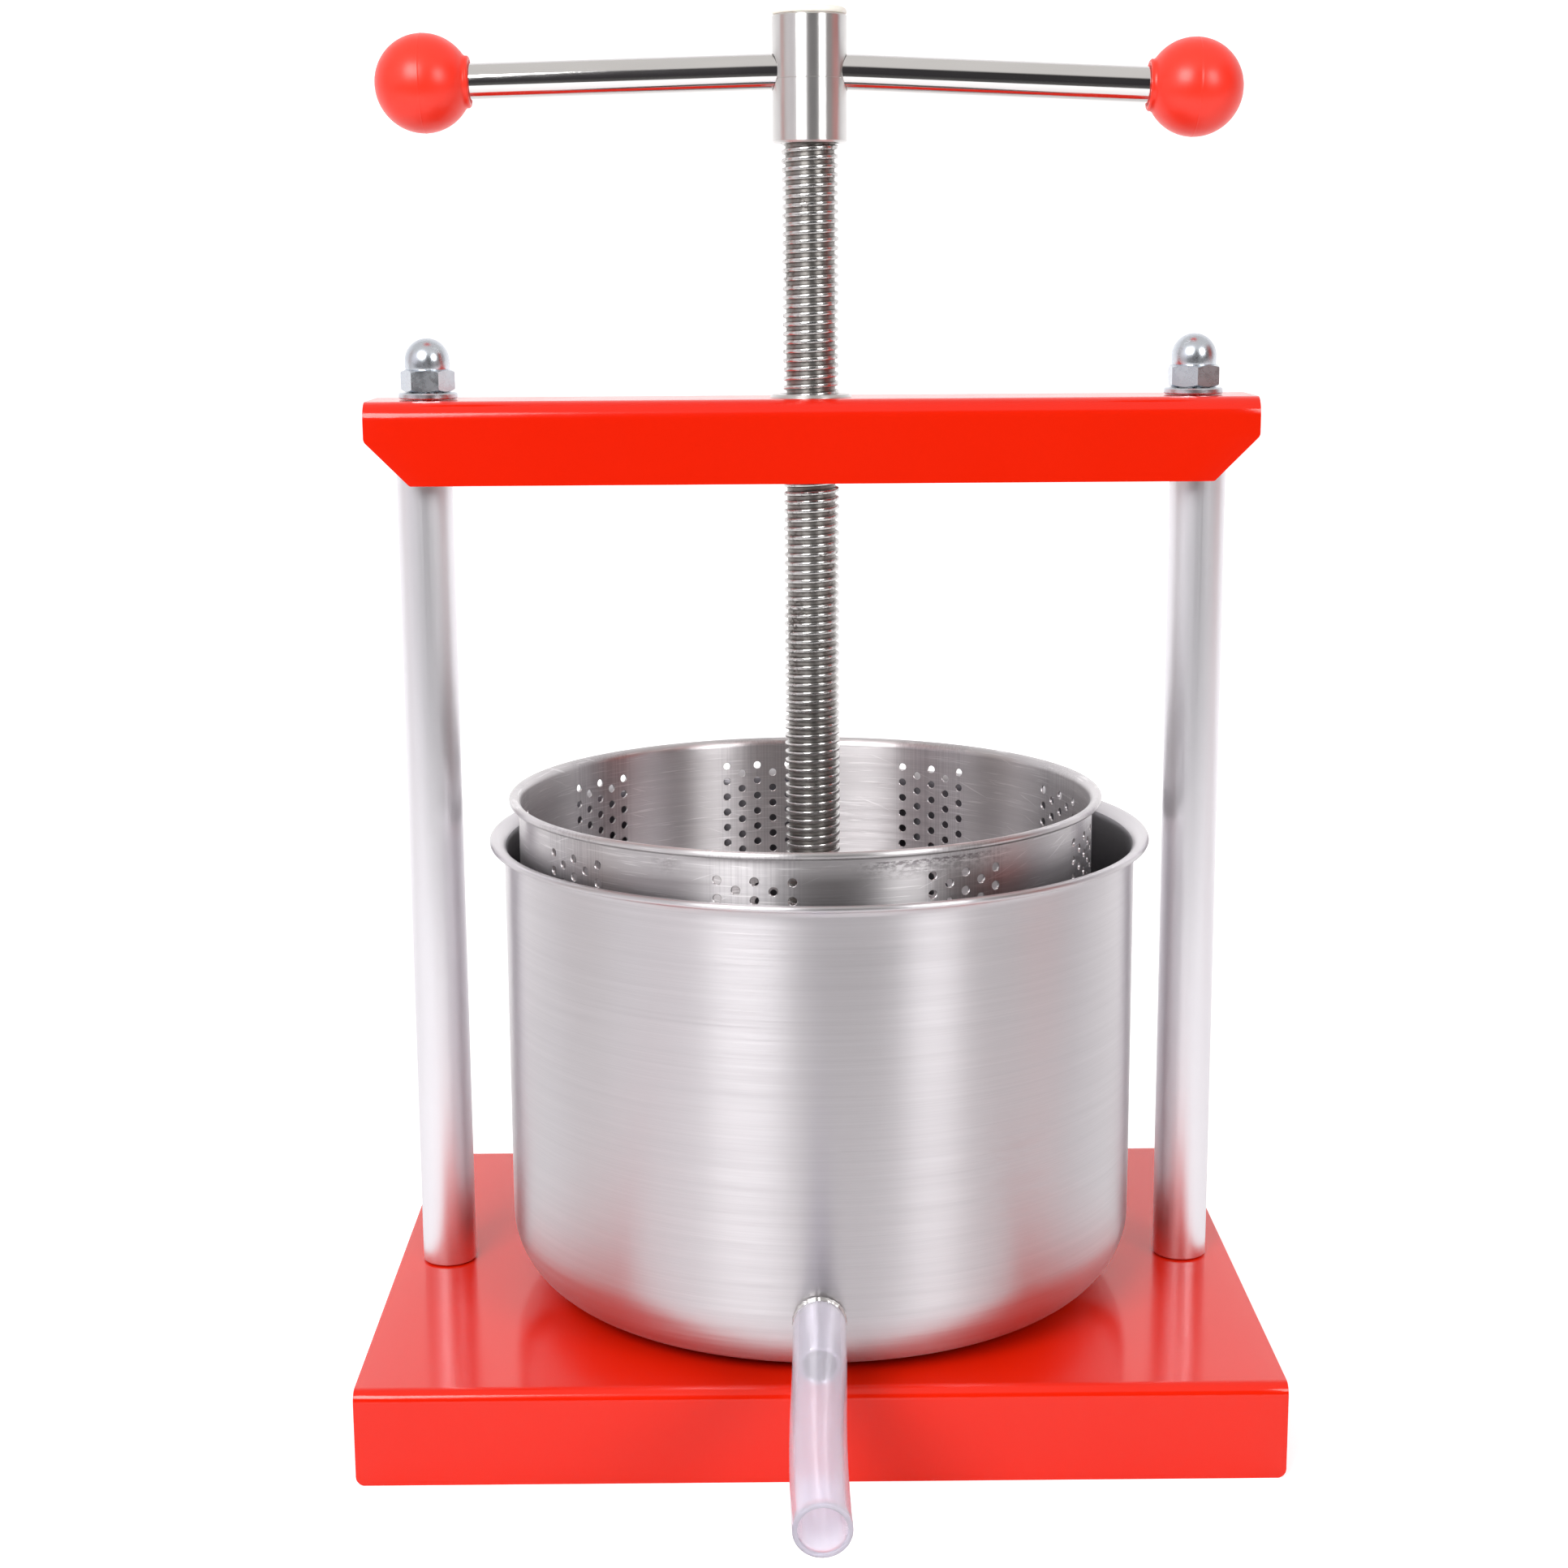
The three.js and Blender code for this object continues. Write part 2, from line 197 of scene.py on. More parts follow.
def tidy(obj, sharp=32):
    mesh = bmesh.new()
    mesh.from_mesh(obj.data)
    bmesh.ops.remove_doubles(mesh, verts=mesh.verts, dist=1e-7)
    bmesh.ops.recalc_face_normals(mesh, faces=mesh.faces)
    mesh.to_mesh(obj.data)
    mesh.free()
    obj.data.polygons.foreach_set("use_smooth", [True] * len(obj.data.polygons))
    obj.data.set_sharp_from_angle(angle=math.radians(sharp))


def applied(obj):
    """Applies the object's modifiers to its mesh."""
    bpy.context.view_layer.update()
    result = bpy.data.meshes.new_from_object(obj.evaluated_get(bpy.context.evaluated_depsgraph_get()))
    obj.modifiers.clear()
    obj.data = result
    tidy(obj)
    return obj


def bevelled(obj, size, segments, angle):
    bevel = obj.modifiers.new("bevel", "BEVEL")
    bevel.width = size
    bevel.segments = segments
    bevel.limit_method = "ANGLE"
    bevel.angle_limit = math.radians(angle)
    return applied(obj)


def thickened(obj, thickness, offset):
    """Gives a surface the thickness of a sheet: inwards for an offset of -1, both ways for 0."""
    solidify = obj.modifiers.new("sheet", "SOLIDIFY")
    solidify.thickness = thickness
    solidify.offset = offset
    return applied(obj)


def cut_by(obj, shape, origin=Vector((0, 0, 0))):
    """Cuts a shape that stands at origin out of the object."""
    tool = new_object("tool", shape, origin)
    boolean = obj.modifiers.new("cut", "BOOLEAN")
    boolean.operation = "DIFFERENCE"
    boolean.solver = "EXACT"
    boolean.object = tool
    applied(obj)
    bpy.data.objects.remove(tool)


def finished(obj, finish, body, slot, *nodes):
    obj.data.materials.clear()
    obj.data.materials.append(finish.material)
    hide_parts(*nodes)
    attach(obj, body)


# ---- Sizes that the shapes and the materials share ----

HOLE_STEP = 6 * MM  # between the basket's holes of a column, and between columns
HOLE_RADIUS = 1.4 * MM
GROUPS, COLUMNS, HOLE_ROWS = 9, 5, 23
FIRST_GROUP = math.radians(20)
BASKET_CORNER, BASKET_RIM = 22 * MM, 3.3 * MM  # BASKET_RIM and POT_RIM: from the wall to the rim's edge
POT_SHEET, POT_CORNER, POT_RIM = 1.0 * MM, 26 * MM, 5 * MM
CREST = width("pressing_screw") / 2
ROOT = CREST - 1.25 * MM

# ---- Materials ----


class Nodes:
    """Short ways to wire the nodes of one tree."""

    def __init__(self, tree):
        self.tree = tree

    def node(self, kind, **settings):
        node = self.tree.nodes.new(kind)
        for key, value in settings.items():
            setattr(node, key, value)
        return node

    def put(self, value, socket):
        """Links an output, or sets a number or a colour."""
        if isinstance(value, bpy.types.NodeSocket):
            self.tree.links.new(value, socket)
        else:
            socket.default_value = (*value, 1) if isinstance(value, tuple) else value

    def fill(self, node, **values):
        """Puts each value into the node's socket of that name, with _ for a space."""
        for name, value in values.items():
            self.put(value, node.inputs[name.replace("_", " ")])
        return node

    def math(self, operation, *values):
        node = self.node("ShaderNodeMath", operation=operation)
        for value, socket in zip(values, node.inputs):
            self.put(value, socket)
        return node.outputs[0]

    def times(self, first, second):
        return self.math("MULTIPLY", first, second)

    def mix(self, factor, first, second):
        mix = self.node("ShaderNodeMix", data_type="RGBA")
        for value, k in ((factor, 0), (first, 6), (second, 7)):
            self.put(value, mix.inputs[k])
        return mix.outputs[2]

    def ramp(self, value, *stops):
        ramp = self.node("ShaderNodeValToRGB")
        elements = ramp.color_ramp.elements
        while len(elements) < len(stops):
            elements.new(0.5)
        for element, (position, colour) in zip(elements, stops):
            element.position = position
            element.color = (*colour, 1) if isinstance(colour, tuple) else (colour,) * 3 + (1,)
        self.put(value, ramp.inputs[0])
        return ramp.outputs[0]

    def rise(self, value, start, end):
        """0 up to start, 1 from end on."""
        return self.ramp(value, (start, 0.0), (end, 1.0))

    def map_range(self, value, start, end, interpolation="LINEAR"):
        """Maps start to end onto 0 to 1, for values that a ramp can't take."""
        node = self.node("ShaderNodeMapRange", interpolation_type=interpolation)
        return self.fill(node, Value=value, From_Min=start, From_Max=end).outputs[0]

    def xyz(self, vector):
        return self.fill(self.node("ShaderNodeSeparateXYZ"), Vector=vector).outputs

    def camera_ray(self):
        return self.node("ShaderNodeLightPath").outputs["Is Camera Ray"]


class Finish(Nodes):
    """A Principled material, with detail that follows the object's own origin."""

    def __init__(self, name, colour, roughness, metallic=0.0, **sockets):
        self.material = bpy.data.materials.new(name)
        self.material.use_nodes = True
        super().__init__(self.material.node_tree)
        self.shader = self.tree.nodes["Principled BSDF"]
        self.fill(self.shader, Base_Color=colour, Roughness=roughness, Metallic=metallic, **sockets)
        self.place = self.node("ShaderNodeTexCoord").outputs["Object"]

    def noise(self, scale, detail=3.0, rough=0.55, source=None):
        """Noise from 0 to 1, at one scale per metre or at one each along X, Y and Z."""
        mapping = self.fill(self.node("ShaderNodeMapping"), Vector=source or self.place)
        mapping.inputs["Scale"].default_value = scale if isinstance(scale, tuple) else (scale,) * 3
        noise = self.fill(self.node("ShaderNodeTexNoise"), Vector=mapping.outputs[0], Scale=1.0)
        return self.fill(noise, Detail=detail, Roughness=rough).outputs["Fac"]

    def coloured(self, factor, first, second):
        self.fill(self.shader, Base_Color=self.mix(factor, first, second))

    def tinted(self, factor, colour):
        """Mixes a colour over the one that the nodes before it give."""
        self.coloured(factor, self.shader.inputs["Base Color"].links[0].from_socket, colour)

    def between(self, value, lowest, highest):
        """Maps 0 to 1 onto lowest to highest."""
        return self.math("MULTIPLY_ADD", value, highest - lowest, lowest)

    def roughened(self, value, lowest, highest):
        self.fill(self.shader, Roughness=self.between(value, lowest, highest))

    def bumped(self, height, strength, distance):
        bump = self.fill(self.node("ShaderNodeBump"), Height=height, Strength=strength, Distance=distance)
        normal = self.shader.inputs["Normal"]
        if normal.is_linked:
            self.fill(bump, Normal=normal.links[0].from_socket)
        self.put(bump.outputs[0], normal)

    def grooved(self, amount, round_z=True):
        """Highlights spread across the grooves, which run round Z or, if not, along it."""
        tangent = self.node("ShaderNodeTangent", direction_type="RADIAL", axis="Z")
        self.fill(self.shader, Tangent=tangent.outputs[0], Anisotropic=amount,
                  Anisotropic_Rotation=0.25 if round_z else 0.0)

    def from_axis(self):
        """The distance from the object's own Z axis and the height along it, in metres."""
        x, y, height = self.xyz(self.place)
        return self.math("SQRT", self.math("ADD", self.times(x, x), self.times(y, y))), height


def red_paint():
    finish = Finish("red_paint", (0.72, 0.012, 0.001), 0.14, Specular_IOR_Level=0.42)
    finish.coloured(finish.noise(9, 2), (0.69, 0.010, 0.0005), (0.75, 0.015, 0.0015))
    finish.roughened(finish.noise(60), 0.10, 0.18)
    finish.bumped(finish.noise(420, 2), 0.08, 0.0001)
    return finish


def satin_aluminium():
    """Drawn along the column, with faint lengthwise lines."""
    finish = Finish("satin_aluminium", (0.88, 0.87, 0.91), 0.4, 1.0)
    finish.grooved(0.3, round_z=False)
    drawn = finish.noise((2600, 2600, 9))
    finish.coloured(finish.noise((25, 25, 12)), (0.85, 0.84, 0.88), (0.92, 0.91, 0.94))
    finish.roughened(drawn, 0.34, 0.46)
    finish.bumped(drawn, 0.10, 0.00003)
    return finish


def brushed_steel(name, light, dark, roughness, streaks):
    """Steel brushed round its own Z axis, with some longer scratches."""
    finish = Finish(name, light, roughness, 1.0)
    finish.grooved(0.9)
    fine = finish.noise((14, 14, 2600), 3, 0.7)
    broad = finish.noise((9, 9, 420), 4, 0.6)
    both = finish.rise(finish.math("MULTIPLY_ADD", broad, 0.5, finish.times(fine, 0.5)), 0.25, 0.75)
    finish.coloured(both, dark, light)
    finish.roughened(both, roughness - 0.05, roughness + 0.07)
    finish.bumped(fine, streaks, 0.00004)
    finish.bumped(finish.rise(finish.noise((35, 35, 900), 1, 0.3), 0.70, 0.73), streaks, 0.00003)
    return finish


def pot_steel():
    """Brushed outside; the inner wall is painted darker from the corner up, a painted shade in the gap
    behind the basket.
    """
    finish = brushed_steel("pot_steel", (0.67, 0.65, 0.67), (0.55, 0.53, 0.55), 0.33, 0.3)
    radius, height = finish.from_axis()
    inside = finish.math("LESS_THAN", radius, width("drain_pot") / 2 - POT_RIM - POT_SHEET / 2)
    above_corner = finish.math("SUBTRACT", height, low("drain_pot").z + POT_CORNER)
    on_wall = finish.rise(finish.math("DIVIDE", above_corner, 20 * MM), 0.0, 1.0)
    # painted shade: the inside wall is darkened, fading in over 20 mm above the corner
    finish.tinted(finish.times(inside, on_wall), (0.27, 0.26, 0.28))
    return finish


def marks_between_holes(finish, around, on_wall):
    """Dull upright marks within each group of holes."""
    waves = finish.math("COSINE", finish.times(finish.math("SUBTRACT", around, FIRST_GROUP), GROUPS))
    upright = finish.rise(finish.noise((1500, 1500, 6), 2), 0.40, 0.60)
    dull = finish.times(finish.times(finish.rise(waves, 0.12, 0.30), upright), 0.35)
    finish.tinted(finish.times(dull, on_wall), (0.40, 0.38, 0.40))


def scratches_and_dashes(finish, around, height, on_wall):
    """Bright scratches that slant both ways, and short level dashes."""
    slanted = finish.fill(finish.node("ShaderNodeCombineXYZ"),
                          X=finish.math("MULTIPLY_ADD", around, 0.1, finish.times(height, 0.35)),
                          Z=finish.math("MULTIPLY_ADD", around, -0.035, height))
    scratches = finish.rise(finish.noise((30, 0, 700), 2, 0.6, slanted.outputs[0]), 0.66, 0.70)
    dashes = finish.rise(finish.noise((55, 55, 1500), 2, 0.6), 0.60, 0.68)
    bright = finish.times(finish.math("MAXIMUM", scratches, dashes), 0.5)
    finish.tinted(finish.times(bright, on_wall), (0.92, 0.90, 0.91))


def scuffs_below_rim(finish, height):
    """Dark patches of small smudges on the outside, down to 11 mm below the rim's top."""
    below = finish.math("SUBTRACT", high("curd_basket").z - 4 * MM, height)
    near_rim = finish.ramp(finish.math("DIVIDE", below, 7 * MM),
                           (0.0, 0.0), (0.05, 1.0), (0.4, 0.5), (1.0, 0.0))
    wall = width("curd_basket") / 2 - BASKET_RIM - 0.3 * MM
    outside = finish.math("GREATER_THAN", finish.from_axis()[0], wall)
    patches = finish.times(finish.rise(finish.noise((14, 14, 5), 2), 0.54, 0.62), outside)
    smudges = finish.rise(finish.noise((350, 350, 900), 4, 0.7), 0.44, 0.56)
    scuffs = finish.times(finish.times(near_rim, patches), smudges)
    finish.tinted(finish.times(scuffs, 0.8), (0.14, 0.12, 0.13))


def basket_steel():
    finish = brushed_steel("basket_steel", (0.70, 0.68, 0.69), (0.54, 0.52, 0.53), 0.35, 0.35)
    x, y, height = finish.xyz(finish.place)
    around = finish.math("ARCTAN2", y, x)
    above_floor = finish.math("SUBTRACT", height, low("curd_basket").z)
    on_wall = finish.rise(finish.math("DIVIDE", above_floor, BASKET_CORNER), 0.4, 1.0)
    marks_between_holes(finish, around, on_wall)
    scratches_and_dashes(finish, around, height, on_wall)
    scuffs_below_rim(finish, height)
    return finish


def face_brushed_steel():
    """Steel brushed in circles on its flat faces."""
    finish = Finish("face_brushed_steel", (0.62, 0.60, 0.61), 0.3, 1.0)
    finish.grooved(0.6)
    radius, height = finish.from_axis()
    place = finish.fill(finish.node("ShaderNodeCombineXYZ"), X=radius, Z=height)
    rings = finish.noise((2400, 0, 2400), 3, 0.7, place.outputs[0])
    finish.coloured(rings, (0.5, 0.49, 0.5), (0.66, 0.64, 0.65))
    finish.roughened(rings, 0.22, 0.4)
    finish.bumped(rings, 0.15, 0.00004)
    return finish


def turned_steel():
    """Fine turning rings round Z, and faint stains."""
    finish = Finish("turned_steel", (0.70, 0.69, 0.68), 0.33, 1.0)
    finish.grooved(0.93)
    rings = finish.noise((3, 3, 5200), 2, 0.6)
    finish.coloured(finish.noise((70, 70, 40), 4), (0.62, 0.61, 0.60), (0.77, 0.76, 0.75))
    finish.roughened(rings, 0.28, 0.38)
    finish.bumped(rings, 0.12, 0.00004)
    return finish


def greased_thread_with_root_shade():
    """Crests in the steel's colour and roots rougher and painted darker, a painted shade in the grooves,
    with dark specks of old grease.
    """
    finish = Finish("greased_thread_with_root_shade", (0.66, 0.65, 0.64), 0.24, 1.0)
    finish.grooved(0.6)
    from_root = finish.math("SUBTRACT", finish.from_axis()[0], ROOT)
    crest = finish.math("DIVIDE", from_root, CREST - ROOT)
    specks = finish.rise(finish.noise((620, 620, 900), 4, 0.7), 0.50, 0.62)
    patches = finish.rise(finish.noise((90, 90, 60)), 0.42, 0.66)
    grease = finish.times(finish.times(specks, patches), 0.85)
    # painted shade: darker towards the root of the thread, deep in its groove
    finish.coloured(crest, (0.30, 0.285, 0.27), (0.70, 0.69, 0.68))
    finish.tinted(grease, (0.10, 0.085, 0.075))
    clean = finish.between(crest, 0.36, 0.22)
    finish.fill(finish.shader, Roughness=finish.math("MULTIPLY_ADD", grease, 0.25, clean))
    finish.bumped(finish.noise(900), 0.16, 0.00006)
    return finish


def zinc_plate():
    """Mottled plating with a bluish and a yellowish tint."""
    finish = Finish("zinc_plate", (0.66, 0.70, 0.75), 0.26, 1.0)
    mottle = finish.noise(320, 4, 0.6)
    finish.coloured(finish.noise(45, 2), (0.58, 0.64, 0.72), (0.76, 0.78, 0.80))
    finish.roughened(mottle, 0.16, 0.38)
    finish.bumped(mottle, 0.12, 0.00005)
    return finish


def chrome_plate():
    """Polished plating with faint lengthwise polishing marks and a few dull smears."""
    finish = Finish("chrome_plate", (0.80, 0.79, 0.78), 0.07, 1.0)
    smear = finish.noise((25, 160, 160), 4)
    finish.coloured(smear, (0.74, 0.73, 0.72), (0.84, 0.83, 0.82))
    finish.roughened(smear, 0.04, 0.14)
    finish.bumped(finish.noise((60, 900, 900)), 0.05, 0.00002)
    return finish


def red_plastic():
    finish = Finish("red_plastic", (0.90, 0.030, 0.012), 0.33, Subsurface_Weight=0.05)
    finish.shader.inputs["Subsurface Radius"].default_value = (0.004, 0.001, 0.0006)
    finish.coloured(finish.noise(45), (0.86, 0.026, 0.010), (0.94, 0.036, 0.016))
    finish.roughened(finish.noise(150), 0.28, 0.40)
    finish.bumped(finish.noise(700, 2), 0.08, 0.00005)
    return finish


def cream_plastic():
    finish = Finish("cream_plastic", (0.93, 0.90, 0.80), 0.42, Subsurface_Weight=0.1)
    cloud = finish.noise(200)
    finish.coloured(cloud, (0.90, 0.86, 0.74), (0.97, 0.95, 0.87))
    finish.roughened(cloud, 0.34, 0.5)
    finish.bumped(cloud, 0.15, 0.00008)
    return finish


def clear_hose():
    """Milky clear plastic, slightly lavender, that the spout shows through."""
    finish = Finish("clear_hose", (0.94, 0.92, 1.0), 0.1, IOR=1.3, Transmission_Weight=0.70)
    haze = finish.noise((60, 12, 60))
    finish.coloured(haze, (0.91, 0.89, 1.0), (0.97, 0.94, 1.0))
    finish.roughened(haze, 0.06, 0.14)
    finish.bumped(finish.noise((500, 12, 500), 2), 0.06, 0.00005)
    return finish


RED = red_paint()
ALUMINIUM = satin_aluminium()
POT_STEEL = pot_steel()
BASKET_STEEL = basket_steel()
PLATE_STEEL = face_brushed_steel()
TURNED = turned_steel()
ZINC = zinc_plate()
CHROME = chrome_plate()
KNOB_RED = red_plastic()
CREAM = cream_plastic()
CLEAR = clear_hose()

# ---- Frame: base, crossbeam and columns ----

SHEET = 2.5 * MM
EDGE = 0.5 * MM  # rounding of the painted sheet's cut edges


def folded_channel(name, node, bend, flange_corner):
    """A sheet folded down along both long sides.

    flange_corner lists (distance from the lower edge, half length) up the end of a flange.
    """
    lowest, highest = low(node), high(node)
    half, height = (highest.y - lowest.y) / 2, highest.z - lowest.z
    full, hold = flange_corner[-1][1], 0.3 * MM  # hold: flat strips that keep the bend's shading to the bend
    rows = [(-half, rise, length) for rise, length in flange_corner]
    rows.append((-half, height - bend - hold, full))
    rows += [(y, z, full) for y, z in arc(bend - half, height - bend, bend, 180, 90, 10)]
    rows.append((bend - half + hold, height, full))
    rows += [(-y, z, length) for y, z, length in rows[::-1]]
    columns = 24
    verts = [(length * (2 * k / columns - 1), y, z) for y, z, length in rows for k in range(columns + 1)]
    starts = [j * (columns + 1) + k for j in range(len(rows) - 1) for k in range(columns)]
    faces = [[a, a + 1, a + columns + 2, a + columns + 1] for a in starts]
    obj = new_object(name, (verts, faces), Vector((0, (lowest.y + highest.y) / 2, lowest.z)))
    thickened(obj, SHEET, -1)
    return bevelled(obj, EDGE, 3, 50)


def base():
    half = width("base_plate") / 2
    corner = [(z, x) for x, z in rounded([(0, 0), (half, 0, 3 * MM), (half, 8 * MM)])[1:]]
    obj = folded_channel("base_shell", "base_plate", 4 * MM, corner)
    finished(obj, RED, "frame", "red_paint", "base_plate")


def crossbeam():
    half, slant = width("crossbeam") / 2, 15 * MM
    outline = [(0, 0), (half - slant, 0, 1.5 * MM), (half, slant, 2.5 * MM), (half, 20 * MM)]
    corner = [(z, x) for x, z in rounded(outline)[1:]]
    obj = folded_channel("beam_shell", "crossbeam", 6 * MM, corner)
    finished(obj, RED, "frame", "red_paint", "crossbeam")


def tube(name, node, wall, finish, slot):
    radius, bottom, top, edge = width(node) / 2, low(node).z, high(node).z, 0.4 * MM
    steps = [bottom + (top - bottom) * k / 12 for k in range(1, 12)]
    profile = [(radius - wall, bottom), (radius - edge, bottom), (radius, bottom + edge)]
    profile += [(radius, z) for z in steps]
    profile += [(radius, top - edge), (radius - edge, top), (radius - wall, top)]
    obj = new_object(name, turn(profile, 72, closed=True), axis_of(node))
    finished(obj, finish, "frame", slot, node)


# ---- Fasteners ----

ACROSS = 16 * MM  # an M10 nut, across its flats
END_GAP = 0.02 * MM  # between a thread and the plain end that goes on from it
SCREW_BORE = 9.8 * MM  # the bush's, the hub's and the socket's bore, as a radius


def nut_shape(height, above, bore=0.0, steps=96):
    """A hexagon whose corners are trimmed by 30 degree cones, and the (radius, height) rings above it."""
    face = 0.48 * ACROSS
    under, over = [], []
    for k in range(steps):
        angle = 2 * math.pi * k / steps
        from_flat = (angle + math.pi / 6) % (math.pi / 3) - math.pi / 6
        radius = ACROSS / 2 / math.cos(from_flat)
        trim = max(0.0, radius - face) * math.tan(math.radians(30))
        under.append((radius * math.cos(angle), radius * math.sin(angle), trim))
        over.append((radius * math.cos(angle), radius * math.sin(angle), height - trim))

    def ring(radius, z):
        return [(x, y, z) for x, y in circle(radius, steps)] if radius else [(0, 0, z)]

    inside = [ring(bore, height), ring(bore, 0)] if bore else []
    layers = inside + [ring(face, 0), under, over, ring(face, height)] + [ring(*each) for each in above]
    verts, rows = [], []
    for layer in layers:
        rows.append([len(verts) + k % len(layer) for k in range(steps)])
        verts += layer
    faces = banded(rows, closed=bool(bore))
    return verts, faces if bore else faces + [rows[0][::-1]]


def cap_nut(side, twist):
    """A domed nut; a shallow groove parts the dome from the hexagon."""
    node = f"cap_nut_{side}"
    total, height, dome = width(node, 2), 7.5 * MM, 7.6 * MM
    neck = [(dome - 0.15 * MM, height + 0.1 * MM), (dome, height + 0.7 * MM), (dome, total - dome)]
    above = neck + arc(0, total - dome, dome, 0, 90, 14)[1:-1] + [(0, total)]
    shape = moved(nut_shape(height, above), Matrix.Rotation(twist, 4, "Z"))
    obj = new_object(f"domed_nut_{side}", shape, axis_of(node, low(node).z), 28)
    finished(obj, ZINC, "frame", "zinc_plate", node)


def plain_nut(side):
    node = f"base_nut_{side}"
    shape = nut_shape(width(node, 2), [], bore=5.1 * MM)
    shape = moved(shape, Matrix.Rotation(math.radians(30), 4, "Z"))
    obj = new_object(f"hex_nut_{side}", shape, axis_of(node, low(node).z), 28)
    finished(obj, ZINC, "frame", "zinc_plate", node)


def washer(node, name):
    radius, height, edge, bore = width(node) / 2, width(node, 2), 0.35 * MM, 5.3 * MM
    profile = [(bore, 0), (radius - edge, 0), (radius, edge), (radius, height - edge),
               (radius - edge, height), (bore + edge, height), (bore, height - edge)]
    obj = new_object(name, turn(profile, 64, closed=True), axis_of(node, low(node).z))
    finished(obj, ZINC, "frame", "zinc_plate", node)


def thread_shape(outline, pitch, bottom, top, steps):
    """A right-hand thread. outline lists (height within one pitch, radius), bottom to top."""
    first = math.floor(bottom / pitch) - 2
    turns = math.ceil(top / pitch) + 2 - first
    size, verts, faces = len(outline), [], []
    for i in range(turns * steps + 1):
        angle = 2 * math.pi * i / steps
        rise = (first + i / steps) * pitch
        verts += [(r * math.cos(angle), r * math.sin(angle), rise + z) for z, r in outline]
    for i in range(turns * steps):
        for k in range(size):
            here, there = i * size + k, (i + 1) * size + k
            if k + 1 < size:
                faces.append([here, there, there + 1, here + 1])
            elif i + 1 + steps <= turns * steps:
                up = (i + steps) * size
                faces.append([here, there, up + size, up])
    return cut_to_length((verts, faces), bottom, top)


def cut_to_length(shape, bottom, top):
    """Cuts a shape off flat at two heights, and closes both ends."""
    mesh = bmesh.new()
    made = [mesh.verts.new(v) for v in shape[0]]
    for face in shape[1]:
        mesh.faces.new([made[k] for k in face])
    for place, normal in ((bottom, -1), (top, 1)):
        everything = mesh.verts[:] + mesh.edges[:] + mesh.faces[:]
        bmesh.ops.bisect_plane(mesh, geom=everything, plane_co=(0, 0, place),
                               plane_no=(0, 0, normal), clear_outer=True, dist=1e-8)
        rim = [e for e in mesh.edges if e.is_boundary and all(abs(v.co.z - place) < 1e-6 for v in e.verts)]
        bmesh.ops.edgeloop_fill(mesh, edges=rim)
    mesh.verts.index_update()
    result = [tuple(v.co) for v in mesh.verts], [[v.index for v in f.verts] for f in mesh.faces]
    mesh.free()
    return result


def tie_rod(side):
    """Threaded at the end that shows under the base, and plain inside the column."""
    node = f"tie_rod_{side}"
    bottom, top, pitch, crest, root = low(node).z, high(node).z, 1.5 * MM, 4.85 * MM, 4.05 * MM
    threaded_top, chamfer = bottom + 24 * MM, 1 * MM
    outline = [(0, crest), (0.2 * MM, crest), (0.75 * MM, root), (0.95 * MM, root)]
    screwed = thread_shape(outline, pitch, bottom + 0.01 * MM, threaded_top, 24)
    start = threaded_top + END_GAP
    plain = turn([(0, start), (crest, start), (crest, top - chamfer), (crest - chamfer, top), (0, top)], 32)
    obj = new_object(f"threaded_rod_{side}", joined(screwed, plain), axis_of(node))
    finished(obj, ZINC, "frame", "zinc_plate", node)


def bush():
    """A turned bush in the beam's hole, with a flange against the sheet's underside."""
    node = "screw_bush"
    bottom, top, bore, edge = low(node).z, high(node).z, SCREW_BORE, 0.8 * MM
    collar, flange, thickness, slope = 14 * MM, width(node) / 2, 5 * MM, 2 * MM
    seat = high("crossbeam").z - SHEET - 0.3 * MM
    profile = [(bore + 0.6 * MM, top), (bore, top - 0.6 * MM), (bore, bottom + edge), (bore + edge, bottom),
               (collar - 1 * MM, bottom), (collar, bottom + 1 * MM),
               (collar, seat - thickness), (flange, seat - thickness), (flange, seat - slope),
               (flange - slope, seat), (collar, seat),
               (collar, high("crossbeam").z + 0.1 * MM), (collar - 0.9 * MM, top)]
    obj = new_object("threaded_bush", turn(profile, 96, closed=True), screw_axis)
    finished(obj, TURNED, "frame", "turned_steel", node)


# ---- Screw, hub, bar and knobs ----

PITCH = 3 * MM


def pressing_screw():
    """The thread down to a plain tip, whose neck the keeper screw holds."""
    node = "pressing_screw"
    crest, flank, soft = 1.32 * MM, 0.22 * MM, 0.25 * MM
    outline = [(0, CREST - soft), (0.35 * soft, CREST - 0.35 * soft), (soft, CREST), (crest - soft, CREST),
               (crest - 0.35 * soft, CREST - 0.35 * soft), (crest, CREST - soft),
               (crest + flank, ROOT + soft / 2), (crest + flank + soft / 2, ROOT),
               (PITCH - flank - soft / 2, ROOT), (PITCH - flank, ROOT + soft / 2)]
    tip, neck, chamfer = low(node).z, 7 * MM, 1 * MM
    neck_bottom, neck_top, thread_start = tip + 8 * MM, tip + 13 * MM, tip + 14 * MM
    thread = thread_shape(outline, PITCH, thread_start, high(node).z, 48)
    end = turn([(0, tip), (CREST - chamfer, tip), (CREST, tip + chamfer), (CREST, neck_bottom),
                (neck, neck_bottom), (neck, neck_top), (CREST, neck_top),
                (CREST, thread_start - END_GAP), (0, thread_start - END_GAP)], 48)
    obj = new_object("threaded_screw", joined(thread, end), screw_axis)
    finished(obj, greased_thread_with_root_shade(), "screw_group", "turned_steel", node)


HUB_CENTRE = screw_axis + Vector((0, 0, 448 * MM))
DROOP = math.radians(2.05)
TILT = Matrix.Rotation(math.radians(0.6), 4, "Y")  # the whole handle sits a little askew
BEND = 20 * MM


